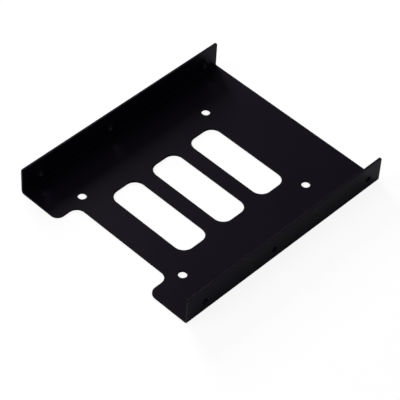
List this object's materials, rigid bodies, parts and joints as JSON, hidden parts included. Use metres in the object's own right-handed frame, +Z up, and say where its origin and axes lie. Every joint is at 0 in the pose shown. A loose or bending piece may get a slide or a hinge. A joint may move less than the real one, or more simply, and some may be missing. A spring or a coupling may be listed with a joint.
{
  "type": "drive bay adapter bracket",
  "caption": "Folded sheet-metal tray that carries a small drive in the bay of a large one, with flanged sides, slots across the floor and a notched end.",
  "frame": {"origin": "middle of the underside of the tray, which is also the middle of the bottom of the whole part", "axes": "+X across the bracket, +Y along the flanges away from the notched end, +Z up, the way the flanges rise from the tray"},
  "size_m": [0.1016, 0.12, 0.0145],
  "materials": {
    "powder_coat": "matt black powder coat on steel sheet"
  },
  "bodies": {
    "root": {"bracket": "powder_coat"}
  },
  "joints": []
}
